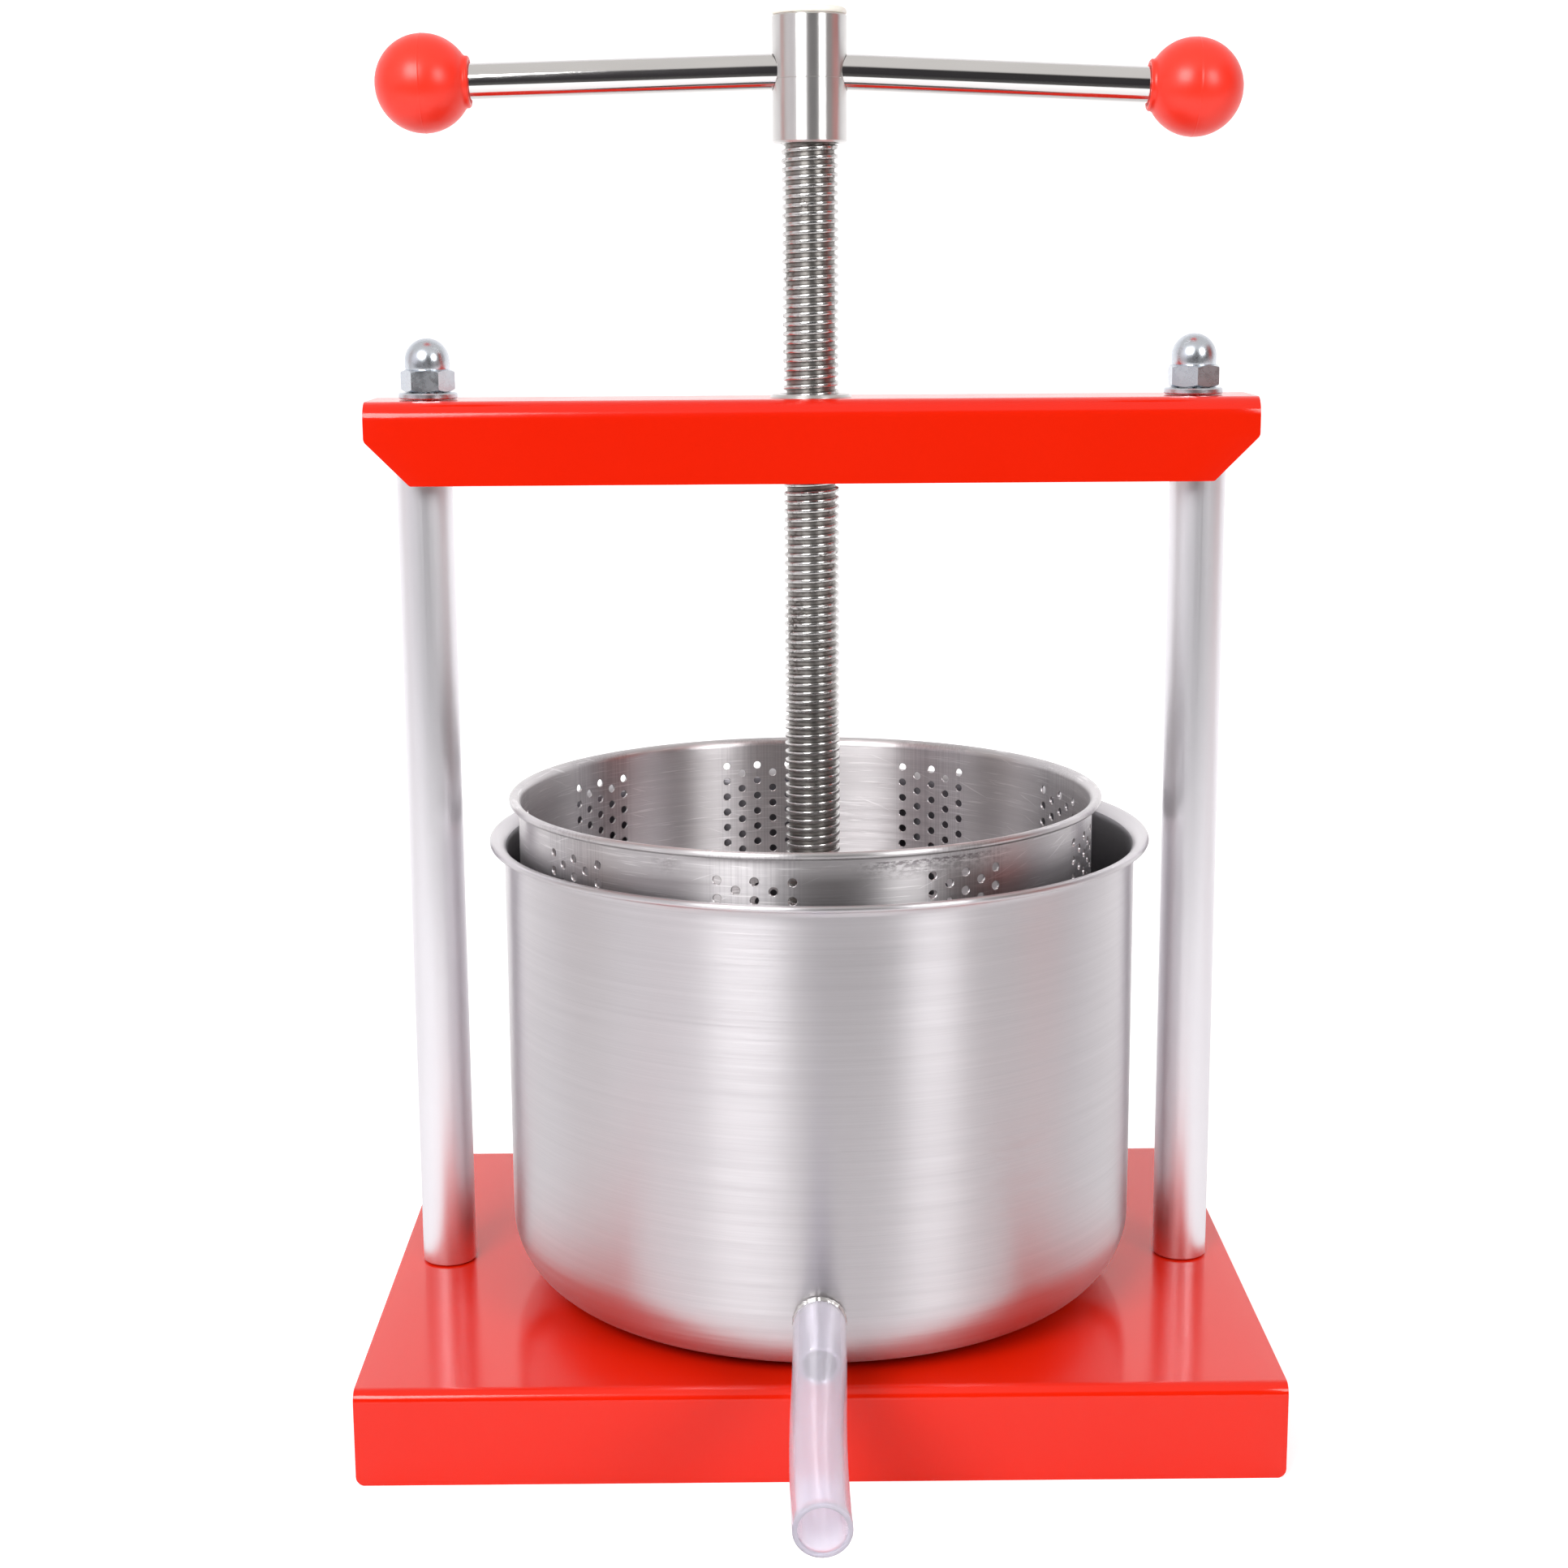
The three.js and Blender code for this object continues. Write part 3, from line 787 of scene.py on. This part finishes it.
def bar_line():
    """The bar's middle line from the hub's centre: two arms that droop from a gentle bend."""
    reach = width("handle_bar") / 2
    points = []
    for k in range(-48, 49):
        x = reach * k / 48
        fall = x * x / (2 * BEND) if abs(x) < BEND else abs(x) - BEND / 2
        points.append(TILT @ Vector((x, 0, -math.tan(DROOP) * fall)))
    return points


def handle_bar():
    obj = new_object("polished_bar", along(bar_line(), circle(6 * MM, 48)), HUB_CENTRE)
    finished(obj, CHROME, "screw_group", "chrome_plate", "handle_bar")


def hub():
    """A turned drum with a blind bore for the screw and a cross hole for the bar."""
    node = "handle_hub"
    radius, bottom, top = width(node) / 2, low(node).z, high(node).z
    line, depth, edge, groove = (bottom + top) / 2, 13.3 * MM, 0.6 * MM, 0.12 * MM
    profile = [(0, bottom + depth), (SCREW_BORE, bottom + depth), (SCREW_BORE, bottom),
               (radius - edge, bottom), (radius, bottom + edge), (radius, line - groove),
               (radius - groove, line), (radius, line + groove), (radius, top - edge),
               (radius - edge, top), (0, top)]
    obj = new_object("turned_hub", turn(profile, 96), screw_axis)
    hole = moved(cylinder(6.45 * MM, -20 * MM, 20 * MM, 64), TILT @ LYING)
    cut_by(obj, hole, HUB_CENTRE)
    finished(obj, TURNED, "screw_group", "turned_steel", node, "bar_grub_screw")


def hub_cap():
    node = "hub_cap"
    radius, under, top = width(node) / 2 + 0.35 * MM, high("handle_hub").z + 0.05 * MM, high(node).z
    profile = [(0, under), (radius - 0.3 * MM, under), (radius, under + 0.3 * MM)]
    for inset, share in ((0, 0.35), (0.35 * MM, 0.62), (1.2 * MM, 0.80), (3.5 * MM, 0.93)):
        profile.append((radius - inset, under + share * (top - under)))
    profile += [(radius * 0.4, under + 0.99 * (top - under)), (0, top)]
    obj = new_object("plastic_cap", turn(profile, 72), screw_axis, 50)
    finished(obj, CREAM, "screw_group", "cream_plastic", node)


def knob(side, sign):
    """A moulded ball, with the fine seam of its mould and a short collar round the bar."""
    radius, collar, face, bore, depth = 16.2 * MM, 8.5 * MM, -15.4 * MM, 6.5 * MM, 6 * MM
    edge, proud = 0.2 * MM, 0.06 * MM
    start = -math.degrees(math.acos(collar / radius))
    profile = [(0, depth), (bore, depth), (bore, face + 0.6 * MM), (bore + 0.6 * MM, face),
               (collar - 0.5 * MM, face), (collar, face + 0.5 * MM), (collar, face + 1.3 * MM)]
    profile += arc(0, 0, radius, start + 2, -1.6, 24)
    profile += [(radius, -edge), (radius + proud, -proud), (radius + proud, proud), (radius, edge)]
    profile += arc(0, 0, radius, 1.6, 90, 30)[:-1] + [(0, radius)]
    reach = 128.4 * MM
    place = HUB_CENTRE + TILT @ Vector((sign * reach, 0, -math.tan(DROOP) * (reach - BEND / 2)))
    obj = new_object(f"ball_knob_{side}", turn(profile, 96), place, 40)
    obj.rotation_euler = (TILT @ Matrix.Rotation(sign * (math.pi / 2 + DROOP), 4, "Y")).to_euler()
    finished(obj, KNOB_RED, "screw_group", "red_plastic", f"knob_{side}")


# ---- Press plate ----


def press_plate():
    node = "press_plate"
    radius, bottom, top, edge = width(node) / 2, low(node).z, high(node).z, 0.7 * MM
    profile = [(0, bottom), (radius * 0.5, bottom), (radius - edge, bottom), (radius, bottom + edge),
               (radius, top - edge), (radius - edge, top), (radius * 0.5, top), (0, top)]
    obj = new_object("pressing_disc", turn(profile, 128), screw_axis)
    finished(obj, PLATE_STEEL, "plate_group", "brushed_steel", node)


def plate_socket():
    """A turned socket with a cross hole for the keeper screw; the slope at its foot is the weld."""
    node = "plate_socket"
    bottom, top, boss, foot = low(node).z, high(node).z, 17 * MM, width(node) / 2 - 0.5 * MM
    under, foot_top, floor = bottom - 0.25 * MM, bottom + 4 * MM, bottom + 5 * MM
    outline = [(0, under), (foot + 2 * MM, under), (foot, bottom + 1.4 * MM, 1 * MM),
               (foot, foot_top, 0.6 * MM), (boss, foot_top, 2.5 * MM), (boss, top, 1 * MM),
               (SCREW_BORE, top, 0.5 * MM), (SCREW_BORE, floor), (0, floor)]
    obj = new_object("screw_socket", turn(rounded(outline, 4), 72), screw_axis)
    hole = moved(cylinder(3.2 * MM, 0, 20 * MM, 32), LYING)
    cut_by(obj, hole, axis_of("pressing_screw", middle("keeper_screw").z))
    finished(obj, TURNED, "plate_group", "turned_steel", node)


def keeper_screw():
    """A grub screw with a hexagonal socket, set across the plate's socket."""
    node = "keeper_screw"
    length, radius, point, edge = width(node), 2.9 * MM, 0.6 * MM, 0.5 * MM
    profile = [(0, 0), (radius - point, 0), (radius, point), (radius, length - edge),
               (radius - edge, length), (0, length)]
    start = Vector((low(node).x, screw_axis.y, middle(node).z))
    obj = new_object("grub_screw", moved(turn(profile, 32), LYING), start)
    key = moved(cylinder(1.7 * MM, 0, 6 * MM, 6), LYING)
    key_start = Vector((high(node).x - 2.5 * MM, screw_axis.y, middle(node).z))
    cut_by(obj, key, key_start)
    finished(obj, ZINC, "plate_group", "zinc_plate", node)


# ---- Pot, spout, hose and basket ----


def lip(wall, top, reach, bead):
    """The middle line of a rim: flared outwards, then rolled under at its edge."""
    flare = reach - bead - wall
    outwards = arc(wall + flare, top - flare, flare, 180, 92, 9)
    return outwards + arc(reach - bead, top - bead, bead, 90, -100, 9)


def drain_pot():
    node, sheet, corner = "drain_pot", POT_SHEET, POT_CORNER
    floor, top, rim = low(node).z, high(node).z, width(node) / 2
    wall = rim - POT_RIM - sheet / 2
    middle_top = top - sheet / 2
    line = [(0, floor + sheet / 2), (40 * MM, floor + sheet / 2)]
    line += arc(wall - corner + sheet / 2, floor + corner, corner - sheet / 2, -90, 0, 16)
    rise = middle_top - (rim - sheet / 2 - wall) - (floor + corner)
    line += [(wall, floor + corner + rise * k / 10) for k in range(1, 10)]
    line += lip(wall, middle_top, rim - sheet / 2, 0.6 * MM)
    obj = new_object("pot_shell", turn(both_sides(line, sheet), 192), pot_axis)
    hole = moved(cylinder(6.5 * MM, -8 * MM, 8 * MM, 48), spout_matrix())
    cut_by(obj, hole)
    finished(obj, POT_STEEL, "frame", "brushed_steel", node)


def spout_matrix():
    """Puts a shape along Z where the spout leaves the pot's wall, and points it as the spout does."""
    tilt, turned, height = math.radians(6.2), math.radians(-1.2), 55.9 * MM
    out = Vector((math.sin(turned), -math.cos(turned), 0))
    root = pot_axis + out * (width("drain_pot") / 2 - POT_RIM) + Vector((0, 0, height))
    ahead = out * math.cos(tilt) - Vector((0, 0, math.sin(tilt)))
    return Matrix.Translation(root) @ ahead.to_track_quat("Z", "Y").to_matrix().to_4x4()


def drain_spout():
    """The tube, and the slightly uneven weld bead round its root."""
    outer, bore, start, reach, edge = 6.6 * MM, 5.4 * MM, -2.2 * MM, 30 * MM, 0.3 * MM
    profile = [(bore, start), (outer, start), (outer, reach - edge), (outer - edge, reach),
               (bore + edge, reach), (bore, reach - edge)]
    weld = outer + 0.02 * MM
    bead = [(weld, 0.1 * MM)] + arc(outer + 0.85 * MM, 1.15 * MM, 1.25 * MM, -60, 130, 10)
    verts, faces = turn(bead + [(weld, 1.9 * MM)], 96, closed=True)
    rippled = []
    for x, y, z in verts:
        angle = math.atan2(y, x)
        swell = 1 + 0.012 * math.sin(26 * angle) + 0.008 * math.sin(41 * angle + 1)
        rippled.append((x * swell, y * swell, z))
    place = spout_matrix()
    root = place.translation
    shape = moved(joined(turn(profile, 64, closed=True), (rippled, faces)), place)
    obj = new_object("spout_tube", moved(shape, Matrix.Translation(-root)), root)
    finished(obj, TURNED, "frame", "brushed_steel", "drain_spout")


HOSE_ROUTE = [  # the CAD route, in millimetres on the press's own centre line
    (-0.45, -119.76, 55.59), (-0.72, -132.78, 54.17), (-1.03, -147.69, 52.55), (-1.5, -162, 51.0),
    (-2.0, -178, 49.4), (-2.3, -195, 47.75), (-2.3, -214, 46.05), (-1.9, -235, 44.4),
]
HOSE_RADIUS, HOSE_BORE = 8.5 * MM, 7.0 * MM  # both are radii


def smooth_line(points, steps):
    """A Catmull-Rom curve through the points."""
    ends = [2 * points[0] - points[1]] + points + [2 * points[-1] - points[-2]]
    line = []
    for a, b, c, d in zip(ends, ends[1:], ends[2:], ends[3:]):
        for k in range(steps):
            t = k / steps
            line.append(0.5 * (2 * b + (c - a) * t + (2 * a - 5 * b + 4 * c - d) * t * t
                               + (3 * b - a - 3 * c + d) * t * t * t))
    return line + [points[-1]]


def drain_hose():
    line = smooth_line([screw_axis + Vector(p) * MM for p in HOSE_ROUTE], 6)
    size = 48
    outer, inner = [along(line, circle(radius, size), capped=False) for radius in (HOSE_RADIUS, HOSE_BORE)]
    verts, faces = joined(outer, (inner[0], [face[::-1] for face in inner[1]]))
    ring, last = len(outer[0]), (len(line) - 1) * size
    faces += banded([range(size), range(ring, ring + size)])
    faces += banded([range(ring + last, ring + last + size), range(last, last + size)])
    obj = bevelled(new_object("clear_tube", (verts, faces)), 0.3 * MM, 2, 60)
    finished(obj, CLEAR, "frame", "clear_hose", "drain_hose")


PER_CELL = 4  # edges along one side of a hole's square cell
PLAIN_STEPS = 8  # edges across the plain sheet between two groups
FLOOR_RINGS, FLOOR_STEP = 6, 12 * MM  # rings of drain holes in the floor, and the way between them


def ring_angles(radius):
    """The angles of the basket's vertices: fine across each group of holes, coarse between."""
    fine = COLUMNS * PER_CELL
    half_group = COLUMNS * HOLE_STEP / 2 / radius
    plain = 2 * math.pi / GROUPS - 2 * half_group
    angles = []
    for group in range(GROUPS):
        centre = FIRST_GROUP + 2 * math.pi * group / GROUPS
        angles += [centre - half_group + 2 * half_group * k / fine for k in range(fine)]
        angles += [centre + half_group + plain * k / PLAIN_STEPS for k in range(PLAIN_STEPS)]
    return angles


def around_cell():
    """The grid steps round a hole's cell, anticlockwise from its lower right corner."""
    steps = range(PER_CELL)
    return ([(PER_CELL, k) for k in steps] + [(PER_CELL - k, PER_CELL) for k in steps]
            + [(0, PER_CELL - k) for k in steps] + [(k, 0) for k in steps])


def hole_ring(radius, centre, height, sides):
    """The edge of a round hole in the wall, starting as around_cell does."""
    ring = []
    for k in range(sides):
        around = 2 * math.pi * (k - PER_CELL / 2) / sides
        angle = centre + HOLE_RADIUS * math.cos(around) / radius
        rise = HOLE_RADIUS * math.sin(around)
        ring.append((radius * math.cos(angle), radius * math.sin(angle), height + rise))
    return ring


def perforated_wall(radius, bottom, angles):
    """A grid of vertices with round holes in the cells of each group; every second column is offset."""
    fine, count = COLUMNS * PER_CELL, len(angles)
    step, rows = HOLE_STEP / PER_CELL, HOLE_ROWS * PER_CELL
    verts = [(radius * math.cos(a), radius * math.sin(a), bottom + j * step)
             for j in range(rows + 1) for a in angles]
    faces = []

    def at(i, j):
        return j * count + i % count

    def plain(columns, levels):
        for j in levels:
            for i in columns:
                faces.append([at(i, j), at(i + 1, j), at(i + 1, j + 1), at(i, j + 1)])

    def hole(i, j, angle):
        edge = [at(i + a, j + b) for a, b in around_cell()]
        start, total = len(verts), len(edge)
        verts.extend(hole_ring(radius, angle, bottom + (j + PER_CELL / 2) * step, total))
        for k in range(total):
            n = (k + 1) % total
            faces.append([start + k, edge[k], edge[n], start + n])

    for group in range(GROUPS):
        centre = FIRST_GROUP + 2 * math.pi * group / GROUPS
        first = group * (fine + PLAIN_STEPS)
        for i in range(first + fine, first + fine + PLAIN_STEPS):
            plain([i], range(rows))
        for column in range(COLUMNS):
            left = first + column * PER_CELL
            angle = centre + (column - (COLUMNS - 1) / 2) * HOLE_STEP / radius
            offset = PER_CELL // 2 if column % 2 else 0
            plain(range(left, left + PER_CELL), [*range(offset), *range(rows - offset, rows)])
            for j in range(offset, rows - offset, PER_CELL):
                hole(left, j, angle)
    return verts, faces


def perforated_floor(radius, height, angles):
    """A flat disc with rings of drain holes: triangulated as a whole, then emptied inside the holes."""
    points = [Vector((radius * math.cos(a), radius * math.sin(a))) for a in angles]
    edges = [(k, (k + 1) % len(angles)) for k in range(len(angles))]
    holes, sides = [], 12
    for ring in range(FLOOR_RINGS):
        many = max(1, 6 * ring)
        for k in range(many):
            around = 2 * math.pi * k / many
            holes.append(Vector((math.cos(around), math.sin(around))) * ring * FLOOR_STEP)
            start = len(points)
            points += [holes[-1] + Vector(corner) for corner in circle(HOLE_RADIUS, sides)]
            edges += [(start + i, start + (i + 1) % sides) for i in range(sides)]
    made = geometry.delaunay_2d_cdt(points, edges, [], 1, 1e-7)
    corners, kept = made[0], []
    for triangle in made[2]:
        centre = sum((corners[i] for i in triangle), Vector((0, 0))) / 3
        if all((centre - hole).length > HOLE_RADIUS for hole in holes):
            kept.append(list(triangle)[::-1])
    return [(p.x, p.y, height) for p in corners], kept


def curd_basket():
    node, sheet, corner = "curd_basket", 0.8 * MM, BASKET_CORNER
    floor, top, rim = low(node).z, high(node).z, width(node) / 2
    wall = rim - BASKET_RIM - sheet / 2
    highest_hole = top - 10 * MM
    wall_top = highest_hole + HOLE_STEP / 2
    bottom = wall_top - HOLE_ROWS * HOLE_STEP
    foot = wall - corner + sheet / 2
    angles = ring_angles(wall)
    below = [(foot, floor + sheet / 2)] + arc(foot, floor + corner, corner - sheet / 2, -90, 0, 12)[1:]
    above = [(wall, wall_top)] + lip(wall, top - sheet / 2, rim - sheet / 2, 0.85 * MM)
    shape = joined(perforated_wall(wall, bottom, angles), turn(below + [(wall, bottom)], angles=angles),
                   turn(above, angles=angles), perforated_floor(foot, floor + sheet / 2, angles))
    obj = new_object("perforated_basket", shape, basket_axis)
    thickened(obj, sheet, 0)
    bevelled(obj, 0.16 * MM, 1, 60)
    finished(obj, BASKET_STEEL, "frame", "brushed_steel", node)


# ---- Camera, floor and light ----


def camera():
    """A lens a little above the crossbeam, looking down on the press by eleven degrees."""
    data = bpy.data.cameras.new("camera")
    data.sensor_width = 36
    data.lens = 59.44
    data.clip_end = 20
    obj = bpy.data.objects.new("camera", data)
    bpy.context.collection.objects.link(obj)
    place = screw_axis + Vector((-14.25, -890.94, 383.54)) * MM
    pitch, yaw, roll = 0.1961, -0.0047, -0.0066
    look = Matrix.Rotation(yaw, 4, "Z") @ Matrix.Rotation(math.pi / 2 - pitch, 4, "X")
    obj.matrix_world = Matrix.Translation(place) @ look @ Matrix.Rotation(roll, 4, "Z")
    bpy.context.scene.camera = obj


TABLE_END = -0.85  # the studio's table ends here; past it, the room is dark in the reflections


def floor():
    """A pale floor that rises into a backdrop and glows there. Reflections see it end in front."""
    finish = Finish("studio_floor", (0.9, 0.9, 0.9), 0.8)
    depth = finish.xyz(finish.place)[1]
    camera_sees = finish.camera_ray()
    table = finish.map_range(depth, TABLE_END, TABLE_END + 0.12, "SMOOTHSTEP")
    cloud = finish.mix(finish.noise(3, 2), (0.88, 0.88, 0.89), (0.91, 0.91, 0.92))
    finish.coloured(finish.math("MAXIMUM", table, camera_sees), (0.05, 0.05, 0.05), cloud)
    behind = finish.rise(finish.math("MULTIPLY_ADD", depth, 0.5, 0.5), 0.62, 0.85)
    glow = finish.times(finish.math("MAXIMUM", camera_sees, behind), 0.45)
    finish.fill(finish.shader, Emission_Color=(1, 1, 1), Emission_Strength=glow)
    radius, near, far, up, side = 0.8, -3.0, 1.6, 2.8, 4
    line = rounded([(near, 0), (far, 0, radius), (far, up)], 12)
    verts = [(x, y, z) for y, z in line for x in (-side, side)]
    faces = [[2 * k, 2 * k + 1, 2 * k + 3, 2 * k + 2] for k in range(len(line) - 1)]
    obj = new_object("studio_floor", (verts, faces))
    obj.data.materials.append(finish.material)


def soft_box(name, place, size, radiance):
    """A rectangular soft light, aimed at the press. radiance is how bright a mirror would show it."""
    data = bpy.data.lights.new(name, "AREA")
    data.shape = "RECTANGLE"
    data.size, data.size_y = size
    data.energy = radiance * math.pi * size[0] * size[1]
    obj = bpy.data.objects.new(name, data)
    bpy.context.collection.objects.link(obj)
    obj.location = place
    obj.rotation_euler = (Vector((0, 0, 0.3)) - Vector(place)).to_track_quat("-Z", "Y").to_euler()


STUDIO_WALLS = [  # azimuth in degrees from the front, towards the right, and the light there
    (-180, (1.1, 1.1, 1.14)), (-112, (1.1, 1.09, 1.15)), (-100, (0.62, 0.53, 0.51)),
    (-84, (0.60, 0.53, 0.51)), (-76, (0.86, 0.83, 0.86)), (-48, (0.84, 0.80, 0.84)),
    (-42, (0.34, 0.32, 0.33)), (-16, (0.06, 0.055, 0.06)), (26, (0.02, 0.02, 0.02)),
    (50, (0.14, 0.13, 0.13)), (72, (0.17, 0.15, 0.14)), (78, (0.46, 0.07, 0.05)),
    (90, (0.46, 0.09, 0.07)), (98, (0.34, 0.31, 0.32)), (122, (1.1, 1.09, 1.15)), (180, (1.1, 1.1, 1.14)),
]
CEILING = (0.72, 0.70, 0.685)
CEILING_FROM, CEILING_FULL = math.radians(29), math.radians(42)  # how far up the walls give way to it


def light():
    """A pale studio: a soft box to both sides of the camera, and a darker room behind it."""
    world = bpy.data.worlds.new("studio")
    bpy.context.scene.world = world
    world.use_nodes = True
    nodes = Nodes(world.node_tree)
    x, y, z = nodes.xyz(nodes.node("ShaderNodeTexCoord").outputs["Generated"])
    azimuth = nodes.map_range(nodes.math("ARCTAN2", x, nodes.times(y, -1.0)), -math.pi, math.pi)
    walls = nodes.ramp(azimuth, *[((angle + 180) / 360, colour) for angle, colour in STUDIO_WALLS])
    height = nodes.map_range(z, math.sin(CEILING_FROM), math.sin(CEILING_FULL), "SMOOTHSTEP")
    room = nodes.mix(height, walls, CEILING)
    seen = nodes.mix(nodes.camera_ray(), room, (1.0, 1.0, 1.0))
    nodes.put(seen, world.node_tree.nodes["Background"].inputs["Color"])
    soft_box("left_box", (-0.56, -1.07, 0.98), (0.64, 0.62), 11.2)
    soft_box("right_box", (0.94, -1.13, 0.88), (0.50, 0.62), 8.8)


camera()
floor()
light()
bpy.context.scene.view_settings.view_transform = "Standard"

base()
crossbeam()
for side, twist in (("left", math.radians(30)), ("right", 0)):
    tube(f"column_{side}", f"post_{side}", 2 * MM, ALUMINIUM, "aluminium")
    tie_rod(side)
    washer(f"base_washer_{side}", f"lower_washer_{side}")
    washer(f"top_washer_{side}", f"upper_washer_{side}")
    plain_nut(side)
    cap_nut(side, twist)
bush()
pressing_screw()
hub()
hub_cap()
handle_bar()
knob("left", -1)
knob("right", 1)
press_plate()
plate_socket()
keeper_screw()
drain_pot()
drain_spout()
drain_hose()
curd_basket()
